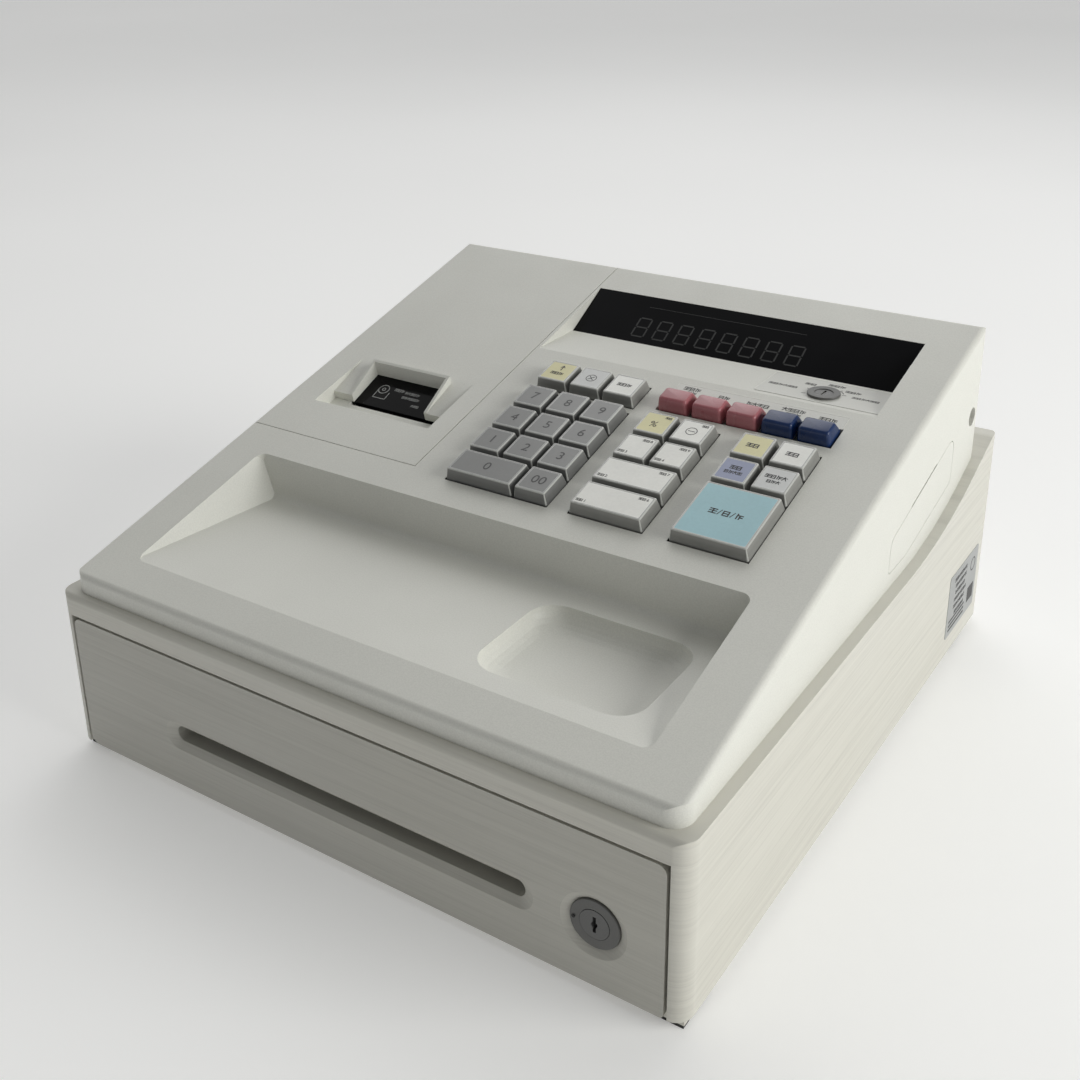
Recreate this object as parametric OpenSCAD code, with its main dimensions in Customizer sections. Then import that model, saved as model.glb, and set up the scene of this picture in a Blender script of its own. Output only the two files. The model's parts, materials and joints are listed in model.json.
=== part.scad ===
// Small desktop cash register: a drawer base, a sloping upper housing with keys, display and printer.
// Frame: X to the right as the operator faces it, Y towards the rear, Z up.
// Origin: the middle of the footprint, on the surface that the feet stand on.

/* [Overall] */
// Width over the base casing
width = 335; // [320:1:360]
// Depth over the base casing
depth = 358; // [354:1:364]
// Height of the feet below the base casing
foot_h = 5; // [4:0.5:6]

/* [Base casing] */
// Height of the base casing at the front
base_h = 82; // [82:0.5:86]
// How much higher the base casing stands at the rear
base_rise = 28; // [26:0.5:29]
// Distance from the middle to the foot of the rise
rise_start = 94; // [90:1:98]
// Radius that blends the flat top into the rise
rise_blend = 260; // [200:10:270]
// Wall thickness of the base casing
base_wall = 3; // [2.5:0.5:4]
// Radius of the vertical corners
base_corner = 8; // [5:1:12]

/* [Upper housing] */
// Width of the upper housing
housing_w = 324; // [320:1:326]
// Ledge left on the base in front of the housing
front_ledge = 5; // [4:0.5:7]
// Ledge left on the base behind the housing
rear_ledge = 20.5; // [18:0.5:24]
// Height of the housing's front face
lip_h = 9.3; // [8:0.1:11]
// Slope of the deck in degrees
deck_slope = 14.5; // [13.5:0.1:15]
// Lean of the rear wall, from bottom to top
rear_lean = 4.5; // [0:0.5:6]
// Wall thickness of the upper housing
skin = 3; // [2.5:0.5:3]

/* [Keys] */
// Spacing of the key columns
key_pitch_x = 19.6; // [19:0.1:20]
// Spacing of the key rows, along the deck
key_pitch_s = 19.75; // [19:0.05:20]
// Height of a key top above the deck
key_top_h = 6; // [4:0.5:8]
// Travel of a key
key_travel = 3; // [2:0.5:3]

/* [Drawer] */
// How far the drawer opens
drawer_travel = 245; // [200:5:250]
// Width of the drawer front
drawer_w = 317.4; // [310:0.2:318]
// Height of the drawer front
drawer_h = 70; // [66:0.2:70.4]
// Width of the cheque slot in the drawer front
cheque_slot_w = 193; // [150:1:200]

/* [Printer] */
// Diameter of the paper roll
roll_d = 52; // [30:1:52]
// Width of the paper roll
roll_w = 57.5; // [44:0.5:58]

/* [Hidden] */
$fn = 48;
half_w = width / 2;
half_d = depth / 2;
base_top = foot_h + base_h;
rear_top = base_top + base_rise;
rise_end = half_d - 10;

half_h = housing_w / 2;
front_y = -half_d + front_ledge;
rear_y = half_d - rear_ledge;
deck_z0 = base_top + lip_h;
deck_tan = tan(deck_slope);
rear_top_y = rear_y - rear_lean;

// Printer bay and roll cover, along the deck from its front edge
cover_s = 130.5;
cover_x = -52.8;
cover_drop = 20;
seam = 0.5;
bay_wall = 2.4;
shelf_h = -3.4;
scoop_x = [-142, -65.3];
scoop_s = [158.6, 202];
scoop_depth = 8.5;
ramp_depth = 4;
paper_gap = 2.5;
pane_drop = 4.5;
pane_t = 1.5;
slot_s = [161.5, 174];
pane_x = [-129, -80];
pane_rear_s = 197;
rim_t = 1.6;
rim_rise = 4;
paper_x = -99;
roll_y = 103;
roll_z = 131;
platen_y = 8;
platen_z = 125;

// Pen tray and coin dish
tray_s = [20, 110];
tray_half_w = 138;
tray_rear_lean = 2.1;
tray_side_lean = 25;
dish_x = [46, 124];
dish_y = [-143.5, -83];
dish_depth = 9.5;

// Display recess
recess_x = [-50.4, 139];
recess_s = [244, 311];
recess_floor_d = 34.5;
recess_skin = 4.4;
glass_t = 2;
digits_x = [-24, 109];

// Screws that join the housing to the base, and the recessed ones at its sides
base_screw_x = 156;
base_screw_y = [-120, 132];
side_screw = [143, 134];
side_screw_depth = 8;
screw_head_h = 2;

// Rear window: place along X, distance below the top edge, and opening
rear_window_x = 60;
rear_window_drop = 28;
rear_window = [90, 20];

// Key groups: left edge, columns, and the front edge of the lowest row
key_front_s = 127.2;
top_row_s = 210.2;
number_x = -32.2;
middle_x = 37.4;
right_x = 88.6;
key_gap = 1;
key_taper = 1.1;
key_skirt = 3;
well_depth = 9;
well_wall = 2;
stem_w = 5;
mat_h = -13.2;

// Sculpted buttons
button_s = [213.6, 229.4];
button_x = 36.8;
button_pitch = 18.4;

// Drawer
drawer_floor = 22;
drawer_gap = 1.4;
tray_front = -half_d + 12;
tray_rear = 118;
drawer_wall = 2.5;
lock_x = 128.5;
lock_z = 33.7;
lock_face_d = 22;
slot_z = 33.2;
roller_r = 5.5;
roller_gap = 0.35;
axle_d = 3;
front_roller_y = -158;
rear_roller_y = 110;
bracket_x = 156;
rear_bracket_x = 138;
front_axle_z = drawer_floor - 2 - roller_r - roller_gap;
rear_axle_z = foot_h + base_wall + roller_r + roller_gap;
catch_y = tray_rear + 34;
board_post_y = [-30, 40];
coin_front = -half_d + 44;
coin_half = 148;
coin_top = 66;
bill_front = coin_front + 88;
bill_rear = tray_rear - drawer_wall - 0.5;
bill_w = 96;
bill_wall = 1.6;
clip_pin_z = 60;
clip_y = 88;

// Mode lock
mode_x = 107;
mode_y = 76.6;

// Name, group left edge, column, row, columns wide, rows deep, colour, row offset along the deck
KEYS = [
    ["key_feed", number_x, 0, 0, 1, 1, "khaki", top_row_s],
    ["key_multiply", number_x, 1, 0, 1, 1, "lightsteelblue", top_row_s],
    ["key_clear", number_x, 2, 0, 1, 1, "whitesmoke", top_row_s],
    ["key_0", number_x, 0, 0, 2, 1, "gray", key_front_s],
    ["key_00", number_x, 2, 0, 1, 1, "gray", key_front_s],
    ["key_1", number_x, 0, 1, 1, 1, "gray", key_front_s],
    ["key_2", number_x, 1, 1, 1, 1, "gray", key_front_s],
    ["key_3", number_x, 2, 1, 1, 1, "gray", key_front_s],
    ["key_4", number_x, 0, 2, 1, 1, "gray", key_front_s],
    ["key_5", number_x, 1, 2, 1, 1, "gray", key_front_s],
    ["key_6", number_x, 2, 2, 1, 1, "gray", key_front_s],
    ["key_7", number_x, 0, 3, 1, 1, "gray", key_front_s],
    ["key_8", number_x, 1, 3, 1, 1, "gray", key_front_s],
    ["key_9", number_x, 2, 3, 1, 1, "gray", key_front_s],
    ["key_department_1", middle_x, 0, 0, 2, 1, "whitesmoke", key_front_s],
    ["key_department_2", middle_x, 0, 1, 2, 1, "whitesmoke", key_front_s],
    ["key_department_3", middle_x, 0, 2, 1, 1, "whitesmoke", key_front_s],
    ["key_department_4", middle_x, 1, 2, 1, 1, "whitesmoke", key_front_s],
    ["key_percent", middle_x, 0, 3, 1, 1, "khaki", key_front_s],
    ["key_minus", middle_x, 1, 3, 1, 1, "whitesmoke", key_front_s],
    ["key_total", right_x, 0, 0, 2, 2, "lightblue", key_front_s],
    ["key_shift", right_x, 0, 2, 1, 1, "lightsteelblue", key_front_s],
    ["key_subtotal", right_x, 1, 2, 1, 1, "gainsboro", key_front_s],
    ["key_charge", right_x, 0, 3, 1, 1, "khaki", key_front_s],
    ["key_check", right_x, 1, 3, 1, 1, "whitesmoke", key_front_s]
];

// Name, place in the row, colour
BUTTONS = [
    ["button_pink_1", 0, "palevioletred"],
    ["button_pink_2", 1, "palevioletred"],
    ["button_pink_3", 2, "palevioletred"],
    ["button_blue_1", 3, "royalblue"],
    ["button_blue_2", 4, "royalblue"]
];

BILL_CLIPS = ["bill_clip_left", "bill_clip_middle", "bill_clip_right"];

// ---- Outlines ----

function unit(v) = v / norm(v);

function around(centre, reach) = [centre - reach, centre + reach];

// Points of the arc that rounds corner b between a and c
function corner_arc(a, b, c, r, n = 8) =
    let (u = unit(a - b), v = unit(c - b), half = acos(u * v) / 2,
         centre = b + unit(u + v) * r / sin(half), reach = r / tan(half),
         start = b + u * reach - centre, stop = b + v * reach - centre,
         from = atan2(start.y, start.x),
         sweep = (atan2(stop.y, stop.x) - from + 540) % 360 - 180)
    [for (i = [0:n]) centre + r * [cos(from + sweep * i / n), sin(from + sweep * i / n)]];

// Outline through [x, y, radius] corners
function rounded(corners) =
    let (n = len(corners))
    [for (i = [0:n - 1])
        let (p = corners[i], a = corners[(i + n - 1) % n], c = corners[(i + 1) % n])
        each (p[2] > 0 ? corner_arc([a.x, a.y], [p.x, p.y], [c.x, c.y], p[2]) : [[p.x, p.y]])];

function rounded_box(x, y, r) =
    rounded([[x[0], y[0], r], [x[1], y[0], r], [x[1], y[1], r], [x[0], y[1], r]]);

// Height of the deck over a place from front to rear
function deck_z(y) = deck_z0 + (y - front_y) * deck_tan;

// World [y, z] of a place along the deck and above it
function deck_yz(s, h = 0) =
    [front_y + s * cos(deck_slope) - h * sin(deck_slope),
     deck_z0 + s * sin(deck_slope) + h * cos(deck_slope)];

// Height of the base casing's top over a place from front to rear
function rise_z(y) = base_top + base_rise * max(0, min(1, (y - rise_start) / (rise_end - rise_start)));

// Place of the housing's outer rear face at a height
function rear_wall_y(z) =
    rear_y - (z - rise_z(rear_y)) * rear_lean / (deck_z(rear_top_y) - rise_z(rear_y));

// ---- Placing ----

// A [y, z] outline made solid along X
module along_x(from, to) {
    translate([from, 0, 0]) rotate([90, 0, 90]) linear_extrude(to - from) children();
}

// Deck frame: X, distance up the deck, height above it
module on_deck() {
    translate([0, front_y, deck_z0]) rotate([deck_slope, 0, 0]) children();
}

// A [distance, height] outline in the deck frame made solid along X
module deck_profile(from, to) {
    on_deck() along_x(from, to) children();
}

module block(x, y, z) {
    translate([x[0], y[0], z[0]]) cube([x[1] - x[0], y[1] - y[0], z[1] - z[0]]);
}

// ---- Base casing ----

module base_solid(shrink = 0, bottom = 0, front = 0) {
    intersection() {
        along_x(-half_w + shrink, half_w - shrink)
            polygon(rounded([
                [-half_d + front, foot_h + bottom, 0], [half_d - shrink, foot_h + bottom, 0],
                [half_d - shrink, rear_top - shrink, shrink > 0 ? 0 : 3],
                [rise_end, rear_top - shrink, shrink > 0 ? 0 : 12],
                [rise_start, base_top - shrink, rise_blend],
                [-half_d + front, base_top - shrink, shrink > 0 ? 0 : 3]]));
        linear_extrude(rear_top + 10)
            polygon(rounded_box([-half_w + shrink, half_w - shrink], [-half_d + front, half_d - shrink],
                                base_corner - shrink));
    }
}

module foot_places() {
    foot_x = half_w - 9;
    for (x = [-foot_x, foot_x], y = [-half_d + 15, half_d - 33]) translate([x, y, 0]) children();
}

module base_casing() {
    opening_x = drawer_w / 2 + drawer_gap;
    opening_top = foot_h + drawer_h + drawer_gap;
    cord_hole = [-120, 34];
    color("ivory") difference() {
        union() {
            difference() {
                base_solid();
                base_solid(base_wall, base_wall, 12);
                block([-opening_x, opening_x], [-half_d - 1, -half_d + 13], [0, opening_top]);
            }
            for (side = [-1, 1]) {
                // Brackets that carry the front roller axle
                block(around(side * bracket_x, 2), around(front_roller_y, 6),
                      [foot_h + base_wall - 1, front_axle_z + 4]);
                // Posts that carry the main board
                for (y = board_post_y) translate([side * 55 + 60, y, base_top - 1]) cylinder(h = 7, d = 7);
            }
            foot_places() translate([-7, -11, 2]) cube([14, 22, foot_h - 1]);
            // Post that carries the drawer catch
            translate([0, catch_y, foot_h + 1]) cylinder(h = 24, d = 12);
        }
        // Cable opening to the upper housing
        block([20, 90], [60, 90], [base_top - 10, base_top + 20]);
        for (side = [-1, 1]) translate([side * bracket_x, front_roller_y, front_axle_z])
            rotate([0, 90, 0]) cylinder(h = 10, d = axle_d + 0.1, center = true);
        foot_places() translate([0, 0, 1]) cylinder(h = 3.5, d = 4);
        translate([cord_hole[0], half_d - 10, cord_hole[1]]) rotate([-90, 0, 0]) cylinder(h = 20, d = 8);
        translate([0, catch_y, foot_h + 15]) cylinder(h = 20, d = 4.1);
        for (side = [-1, 1], y = base_screw_y) translate([side * base_screw_x, y, base_top - 10])
            cylinder(h = 40, d = 3.4);
    }
}

module rubber_feet() {
    color("dimgray") foot_places() {
        translate([-6.5, -10.5, 0]) cube([13, 21, 2]);
        cylinder(h = 4.5, d = 3.9);
    }
}

module casing_screw(length) {
    cylinder(h = screw_head_h, d = 6);
    cylinder(h = length, d = 3);
}

// A screw whose head is crossed by a slot
module cross_screw() {
    difference() {
        casing_screw(8);
        for (turn = [0, 90]) rotate(turn) translate([-1.8, -0.4, -0.1]) cube([3.6, 0.8, 1.1]);
    }
}

module casing_screws() {
    color("silver") for (side = [-1, 1]) {
        translate([side * (half_h - side_screw_depth + screw_head_h), side_screw[0], side_screw[1]])
            rotate([0, -side * 90, 0]) cross_screw();
        for (y = base_screw_y)
            translate([side * base_screw_x, y, rise_z(y) - base_wall - screw_head_h - 1.4])
                casing_screw(12);
    }
}

// ---- Upper housing ----

module housing_solid() {
    intersection() {
        along_x(-half_h, half_h)
            polygon(rounded([
                [front_y, base_top, 0], [rise_start, base_top, rise_blend], [rear_y, rise_z(rear_y), 0],
                [rear_top_y, deck_z(rear_top_y), 4], [front_y, deck_z0, 3.5]]));
        linear_extrude(300)
            polygon(rounded_box([-half_h, half_h], [front_y, rear_y], 9));
        on_deck() translate([0, 400, 0]) rotate([90, 0, 0]) linear_extrude(500)
            polygon(rounded([[-half_h, -200, 0], [half_h, -200, 0], [half_h, 0, 3], [-half_h, 0, 3]]));
    }
}

module housing_shell() {
    top = skin / cos(deck_slope);
    bottom = base_top - 10;
    roof = deck_z(rear_top_y - skin) - top;
    difference() {
        housing_solid();
        intersection() {
            along_x(-half_h + skin, half_h - skin)
                polygon([[front_y + skin, bottom], [rear_wall_y(bottom) - skin, bottom],
                         [rear_wall_y(roof) - skin, roof],
                         [front_y + skin, deck_z(front_y + skin) - top]]);
            linear_extrude(300)
                polygon(rounded_box([-half_h + skin, half_h - skin], [front_y + skin, rear_y], 6));
        }
    }
}

// The corner of the shell that lifts off over the printer, grown by a margin
module cover_region(margin = 0) {
    on_deck() block([-half_h - 5, cover_x + margin], [cover_s - margin, 380], [-cover_drop - margin, 30]);
}

function tray_floor_z() = deck_yz(tray_s[0])[1];

module pen_tray(margin = 0) {
    floor_z = tray_floor_z();
    rear = deck_yz(tray_s[1]);
    front = deck_yz(tray_s[0]);
    reach = 40;
    side = tray_half_w + margin;
    intersection() {
        along_x(-side, side)
            polygon(rounded([
                [front[0] - margin * 4, floor_z - margin, 0],
                [rear[0] - tray_rear_lean + margin, floor_z - margin, 4 + margin],
                [rear[0] + margin, rear[1], 0], [rear[0] + margin, rear[1] + 20, 0],
                [front[0] - margin * 4, rear[1] + 20, 0]]));
        on_deck() translate([0, 200, 0]) rotate([90, 0, 0]) linear_extrude(250)
            polygon([[-side, 10], [side, 10], [side, 0],
                     [side - reach * tan(tray_side_lean), -reach],
                     [-side + reach * tan(tray_side_lean), -reach], [-side, 0]]);
        on_deck() translate([0, 0, -60]) linear_extrude(90)
            polygon(rounded_box([-side, side], [tray_s[0] - margin * 4, tray_s[1] + margin * 1.3], 5));
    }
}

module coin_dish(margin = 0) {
    floor_z = tray_floor_z();
    draw_in = 9;
    steps = 6;
    inset = [1, -1];
    // Slices down the wall of a shallow bowl
    hull() for (i = [0:steps]) {
        angle = 90 * i / steps;
        reach = draw_in * (1 - cos(angle)) - margin;
        translate([0, 0, floor_z - dish_depth * sin(angle) - margin - 0.01])
            linear_extrude(0.02 + (i == 0 ? margin * 2 : 0))
                polygon(rounded_box(dish_x + reach * inset, dish_y + reach * inset, 13));
    }
}

module display_recess(margin = 0) {
    crease = deck_yz(recess_s[0]);
    top = deck_yz(recess_s[1]);
    lower = [crease[0] + recess_floor_d, crease[1]];
    side_margin = min(margin, 1.2);
    along_x(recess_x[0] - side_margin, recess_x[1] + side_margin)
        polygon([[crease[0] - margin * 3, crease[1] - margin], [lower[0], lower[1] - margin],
                 [top[0] + margin * 2, top[1] - margin * 0.2], [top[0] + margin * 2, top[1] + 20],
                 [crease[0] - margin * 3, top[1] + 20]]);
}

function glass_slope() =
    let (lower = deck_yz(recess_s[0]) + [recess_floor_d, 0], top = deck_yz(recess_s[1]))
    atan2(top[1] - lower[1], top[0] - lower[0]);

function glass_length() = norm(deck_yz(recess_s[1]) - deck_yz(recess_s[0]) - [recess_floor_d, 0]);

// Glass frame: X, distance up the glass from its lower edge, height above its face
module on_glass() {
    lower = deck_yz(recess_s[0]) + [recess_floor_d, 0];
    translate([0, lower[0], lower[1]]) rotate([glass_slope(), 0, 0]) children();
}

// Well walls around a block of keys, with a floor that guides the stems
module well_walls(x, s) {
    on_deck() block(x + well_wall * [-1, 1], s + well_wall * [-1, 1], [-well_depth, -0.2]);
}

module well_opening(x, s) {
    on_deck() block(x, s, [-key_skirt - key_travel - 0.4, 10]);
}

function well_x(left, columns) = [left, left + columns * key_pitch_x];
function well_s(front, rows) = [front - 0.4, front + rows * key_pitch_s + 0.1];

module each_well(walls) {
    rows = well_s(key_front_s, 4);
    places = [[well_x(number_x, 3), rows], [well_x(middle_x, 2), rows], [well_x(right_x, 2), rows],
              [well_x(number_x, 3), well_s(top_row_s, 1)], [button_well_x(), button_s]];
    for (place = places) {
        if (walls) well_walls(place[0], place[1]);
        else well_opening(place[0], place[1]);
    }
}

function button_well_x() = [button_x, button_x + 5 * button_pitch];

module bay_walls() {
    wall_start = cover_x + seam + 0.3;
    wall_end = wall_start + bay_wall;
    intersection() {
        housing_solid();
        union() {
            block([wall_start, wall_end], [front_y + 120, rear_top_y], [base_top - 5, 200]);
            on_deck() block([-half_h, wall_end], [cover_s - 6, cover_s - 3.5], [-60, 0]);
            // Shelf that the front edge of the roll cover rests on
            on_deck() block([-half_h + skin + 1, wall_end], [cover_s - 6, cover_s + 4],
                            [shelf_h - 2.6, shelf_h]);
        }
    }
}

module side_opening(margin = 0) {
    // Outline of the side cover, in [y, z]
    polygon(rounded([
        [29.5 - margin, 95 - margin, 2], [52, 95 - margin, 0], [115 + margin, 108.4 - margin, 4],
        [115 + margin, 133.9 + margin, 6], [29.5 - margin, 112 + margin, 6]]));
}

module upper_housing() {
    recess_z = deck_yz(recess_s[0])[1];
    color("ivory") difference() {
        union() {
            difference() {
                housing_shell();
                cover_region(seam);
            }
            intersection() {
                housing_solid();
                union() {
                    pen_tray(2.5);
                    coin_dish(2.5);
                    display_recess(recess_skin);
                    each_well(true);
                    // Turret that holds the mode lock
                    translate([mode_x, mode_y, recess_z - 14]) cylinder(h = 14, d = 22);
                    for (side = [-1, 1]) {
                        // Screw pillars at the sides
                        translate([side * (half_h - 5), side_screw[0], side_screw[1]])
                            rotate([0, 90, 0]) cylinder(h = 10, d = 16, center = true);
                        // Pillars that stand on the base casing
                        for (y = base_screw_y) translate([side * base_screw_x, y, rise_z(y) - 3])
                            cylinder(h = 15, d = 8);
                    }
                }
            }
            bay_walls();
        }
        pen_tray();
        coin_dish();
        display_recess();
        each_well(false);
        for (key = KEYS) key_stem_hole(key);
        for (button = BUTTONS) button_stem_hole(button);
        // Seat and view opening of the display glass
        on_glass() block(recess_x + 0.1 * [-1, 1], [-0.2, glass_length() + 0.3], [-glass_t, 5]);
        on_glass() block(digits_x + [-1, 1], [6, glass_length() - 6], [-12, 1]);
        // Bore of the mode lock
        translate([mode_x, mode_y, recess_z - 20]) cylinder(h = 30, d = 14.1);
        // Recessed screw holes at the sides
        for (side = [-1, 1]) translate([side * half_h, side_screw[0], side_screw[1]])
            rotate([0, side * 90, 0]) {
                translate([0, 0, -side_screw_depth]) cylinder(h = 20, d = 10);
                translate([0, 0, -20]) cylinder(h = 20, d = 3.1);
            }
        // Opening, seat and fingernail notch of the side cover
        along_x(half_h - 1.8, half_h + 1) side_opening(0.3);
        along_x(half_h - 6, half_h + 1) offset(delta = -3) side_opening();
        translate([half_h - 4, 55.5, 118.3]) rotate([deck_slope, 0, 0]) cube([6, 35, 1.4]);
        // Opening for the rear window
        rear_window_place() rear_pane(0, [-1, 9]);
        // Threaded holes over the base screws
        for (side = [-1, 1], y = base_screw_y) translate([side * base_screw_x, y, base_top - 1])
            cylinder(h = rise_z(y) - base_top + 9, d = 3.1);
    }
}

// Frame on the inner face of the rear wall, with Y pointing out
module rear_window_place() {
    z = deck_z(rear_top_y) - rear_window_drop;
    lean = atan(rear_wall_y(z - 1) - rear_wall_y(z));
    translate([rear_window_x, rear_wall_y(z) - skin, z]) rotate([lean, 0, 0]) children();
}

// The rear window's outline, grown by a margin
module rear_pane(margin, y) {
    block(around(0, rear_window[0] / 2 + margin), y, around(0, rear_window[1] / 2 + margin));
}

module customer_window() {
    color("black") rear_window_place() {
        rear_pane(-0.2, [-0.5, skin - 0.5]);
        rear_pane(2, [-1.6, -0.1]);
    }
}

module display_window() {
    color("black") on_glass() block(recess_x + [0.1, -0.1], [0, glass_length() - 0.1], [-glass_t, 0]);
}

module display_module() {
    color("darkgreen") on_glass() {
        block([-40, 126], [3, glass_length() - 1], [-11.5, -9.9]);
        block(digits_x, [7, glass_length() - 7], [-9.9, -3.2]);
    }
}

module mode_lock_barrel() {
    top = deck_yz(recess_s[0])[1];
    color("gray") translate([mode_x, mode_y, top]) difference() {
        union() {
            cylinder(h = 1.4, d = 16.4);
            translate([0, 0, -24]) cylinder(h = 24.5, d = 14);
        }
        translate([0, 0, -25]) cylinder(h = 30, d = 9.1);
    }
}

module mode_lock_plug() {
    top = deck_yz(recess_s[0])[1];
    color("silver") translate([mode_x, mode_y, top]) {
        difference() {
            translate([0, 0, -26]) cylinder(h = 27, d = 9);
            translate([-0.6, -3, -8]) cube([1.2, 6, 12]);
        }
        translate([-4, -4, -28]) cube([12, 8, 2]);
    }
}

module side_cover() {
    color("ivory") {
        along_x(half_h - 1.7, half_h) side_opening();
        along_x(half_h - 3.2, half_h - 1.6) offset(delta = -3.4) side_opening();
    }
}

// ---- Roll cover and printer ----

// Height of the ramp beside the window
function ramp_h(s) = -ramp_depth * (scoop_s[1] - s) / (scoop_s[1] - slot_s[1]);

module roll_cover() {
    slot_half = roll_w / 2 + 3;
    ramp_front = ramp_h(slot_s[1]);
    color("ivory") difference() {
        intersection() {
            union() {
                housing_shell();
                // Skin under the scoop
                intersection() {
                    housing_solid();
                    deck_profile(scoop_x[0] - 3, scoop_x[1] + 3)
                        polygon([[scoop_s[1] + 8, 0], [scoop_s[0] - 5, 0], [scoop_s[0] - 5, -3],
                                 [slot_s[0] - 3, -scoop_depth - 3], [slot_s[1], -scoop_depth - 3],
                                 [slot_s[1], ramp_front - pane_drop + 0.1],
                                 [scoop_s[1], -pane_drop + 0.1], [scoop_s[1] + 8, -3]]);
                }
            }
            cover_region();
        }
        // Ramps beside the window, and the groove in front of it
        deck_profile(scoop_x[0], scoop_x[1])
            polygon([[scoop_s[1], 0], [slot_s[1], ramp_front], [slot_s[1], -scoop_depth],
                     [slot_s[0], -scoop_depth], [slot_s[0], -2.5], [scoop_s[0], 0],
                     [scoop_s[0], 10], [scoop_s[1], 10]]);
        // Slot that the paper comes out of
        on_deck() block(around(paper_x, slot_half), [slot_s[1] - paper_gap, slot_s[1]], [-20, 5]);
        deck_profile(pane_x[0], pane_x[1])
            polygon([[slot_s[1] - 1, 10], [pane_rear_s, 10], [pane_rear_s, -20], [slot_s[1] - 1, -20]]);
    }
    // Rim around the window, rising towards the rear
    color("ivory") difference() {
        deck_profile(pane_x[0] - rim_t, pane_x[1] + rim_t)
            polygon([[slot_s[1] + 0.2, ramp_front - 0.5], [slot_s[1] + 0.2, ramp_front + 0.4],
                     [pane_rear_s + rim_t, rim_rise], [pane_rear_s + rim_t, -2]]);
        deck_profile(pane_x[0], pane_x[1])
            polygon([[slot_s[0], 20], [pane_rear_s, 20], [pane_rear_s, -20], [slot_s[0], -20]]);
    }
}

module paper_window() {
    front = slot_s[1] + 0.3;
    front_h = ramp_h(front) - pane_drop;
    color("black") deck_profile(pane_x[0] - 3, pane_x[1] + 3)
        polygon([[front, front_h], [scoop_s[1], -pane_drop],
                 [scoop_s[1], -pane_drop - pane_t], [front, front_h - pane_t]]);
}

module paper_roll() {
    color("white") translate([paper_x, roll_y, roll_z]) rotate([0, 90, 0]) difference() {
        cylinder(h = roll_w, d = roll_d, center = true);
        cylinder(h = roll_w + 2, d = 12, center = true);
    }
}

module printer_frame() {
    half = roll_w / 2 + 5;
    color("dimgray") {
        difference() {
            union() {
                // Side plates of the print mechanism
                for (x = [paper_x - half, paper_x + half - 2.5])
                    along_x(x, x + 2.5)
                        polygon(rounded([[-26, 97, 2], [34, 97, 2], [34, 118, 2],
                                         [platen_y + 10, platen_z + 5, 4], [platen_y - 7, platen_z + 2, 2],
                                         [-26, 112, 3]]));
                // Floor, print head block and motor
                block([paper_x - half, paper_x + half], [-26, 34], [97, 99.5]);
                block([paper_x - half + 2, paper_x + half - 2], [-22, -8], [99, 114]);
                translate([paper_x + half - 6, 22, 109]) rotate([0, 90, 0]) cylinder(h = 16, d = 15);
            }
            for (x = [paper_x - half, paper_x + half - 2.5]) translate([x - 1, platen_y, platen_z])
                rotate([0, 90, 0]) cylinder(h = 5, d = 4.1);
        }
        // Trough that holds the paper roll
        along_x(paper_x - half, paper_x + half) roll_trough(roll_d / 2 + 1.2, roll_d / 2 + 3);
        for (x = [paper_x - half, paper_x + half - 2.5]) along_x(x, x + 2.5) difference() {
            roll_trough(6, roll_d / 2 + 3);
            translate([roll_y, roll_z]) circle(d = 16);
        }
        block([paper_x - half, paper_x + half], [33, roll_y - 11], [104.4, 106.4]);
        block([paper_x - half, paper_x + half], [32, 35], [98, 106.4]);
    }
}

// Lower part of a ring about the roll's centre
module roll_trough(inner, outer) {
    steps = 12;
    span = [200, 340];
    angle = function (i) span[0] + (span[1] - span[0]) * i / steps;
    translate([roll_y, roll_z])
        polygon(concat([for (i = [0:steps]) outer * [cos(angle(i)), sin(angle(i))]],
                       [for (i = [steps:-1:0]) inner * [cos(angle(i)), sin(angle(i))]]));
}

module platen_roller() {
    color("black") translate([paper_x, platen_y, platen_z]) rotate([0, 90, 0]) {
        cylinder(h = roll_w + 2, d = 10, center = true);
        cylinder(h = roll_w + 13, d = 4, center = true);
        translate([0, 0, roll_w / 2 + 6]) cylinder(h = 4, d = 14);
    }
}

// ---- Keys ----

function key_x(key) = key[1] + key[2] * key_pitch_x;
function key_s(key) = key[7] + key[3] * key_pitch_s;
function key_w(key) = key[4] * key_pitch_x - key_gap;
function key_d(key) = key[5] * key_pitch_s - key_gap;
function key_centre(key) =
    [key_x(key) + (key_w(key) + key_gap) / 2, key_s(key) + (key_d(key) + key_gap) / 2];

// A block whose sides draw in above the deck
module key_cap(w, d) {
    intersection() {
        rotate([90, 0, 0]) linear_extrude(d, center = true)
            polygon([[-w / 2, -key_skirt], [w / 2, -key_skirt], [w / 2, 0],
                     [w / 2 - key_taper, key_top_h], [-w / 2 + key_taper, key_top_h], [-w / 2, 0]]);
        rotate([90, 0, 90]) linear_extrude(w, center = true)
            polygon([[-d / 2, -key_skirt], [d / 2, -key_skirt], [d / 2, 0],
                     [d / 2 - key_taper, key_top_h], [-d / 2 + key_taper, key_top_h], [-d / 2, 0]]);
    }
}

module key_stem(gap = 0) {
    translate([-stem_w / 2 - gap, -stem_w / 2 - gap, mat_h + key_travel + 0.4])
        cube([stem_w + 2 * gap, stem_w + 2 * gap, -mat_h - key_travel - 0.4]);
}

module key(key) {
    color(key[6]) on_deck() translate(key_centre(key)) {
        key_cap(key_w(key), key_d(key));
        key_stem();
    }
}

module key_stem_hole(key) {
    on_deck() translate(key_centre(key)) key_stem(0.4);
}

function button_centre(button) =
    [button_x + (button[1] + 0.5) * button_pitch, (button_s[0] + button_s[1]) / 2];

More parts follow.
